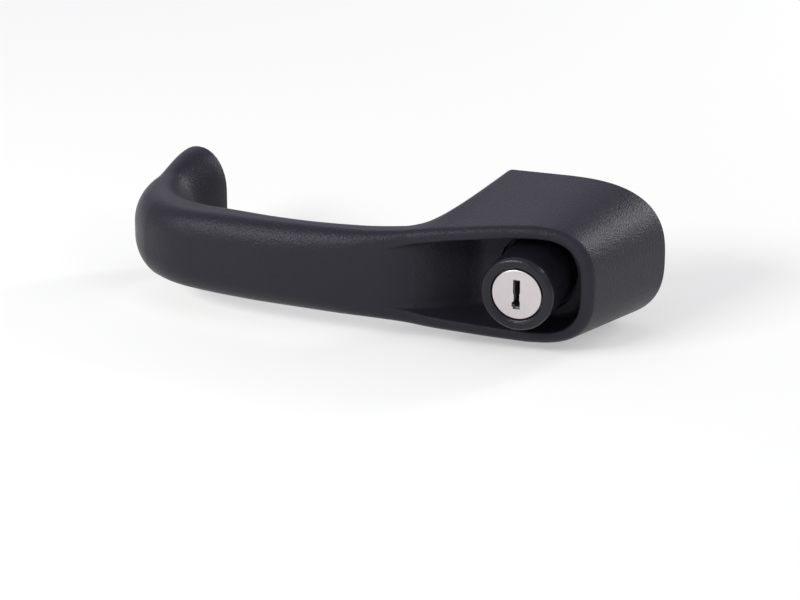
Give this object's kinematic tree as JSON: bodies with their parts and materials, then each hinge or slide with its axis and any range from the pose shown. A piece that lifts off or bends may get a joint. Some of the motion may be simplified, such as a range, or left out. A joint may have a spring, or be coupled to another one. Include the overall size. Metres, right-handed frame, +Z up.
{
  "type": "cab door handle",
  "caption": "Fixed pull handle for a vehicle cab door: grip bar on a return leg, block with a scooped pocket, and a lockable spring-return thumb push button.",
  "frame": {"origin": "on the door's surface, midway between the two fixing threads", "axes": "+X along the grip towards the lock, +Y into the door, +Z up"},
  "size_m": [0.1593, 0.0653, 0.0438],
  "materials": {
    "black_plastic": "fine grain",
    "lock_steel": "satin",
    "steel": "zinc plated",
    "zinc": "die cast",
    "brass": "plain",
    "rubber": "matte"
  },
  "bodies": {
    "handle": {"handle_body": "black_plastic", "block_insert": "brass", "foot_insert": "brass", "button_seal": "rubber", "cover_plate": "steel", "tail_bush": "zinc", "cover_screws": "steel", "return_spring": "steel"},
    "button": {"push_button": "black_plastic", "lock_sleeve": "zinc", "sleeve_pin": "steel", "spring_washer": "steel"},
    "plug": {"lock_face": "lock_steel", "lock_plug": "zinc", "lock_wafers": "brass", "wafer_springs": "steel", "plug_clip": "steel", "lock_cam": "steel", "cam_washer": "steel", "cam_nut": "steel", "push_screw": "steel", "push_screw_nut": "steel"}
  },
  "joints": [
    {"name": "button_press", "type": "slide", "parent": "handle", "child": "button", "axis": [0, 1, 0], "range_m": [0, 0.006], "stiffness_N_per_m": 1500, "springref_m": -0.004, "deforming": ["return_spring"]},
    {"name": "key_turn", "type": "hinge", "parent": "button", "child": "plug", "pos_m": [0.0485, 0, 0], "axis": [0, 1, 0], "range_deg": [0, 90]}
  ]
}
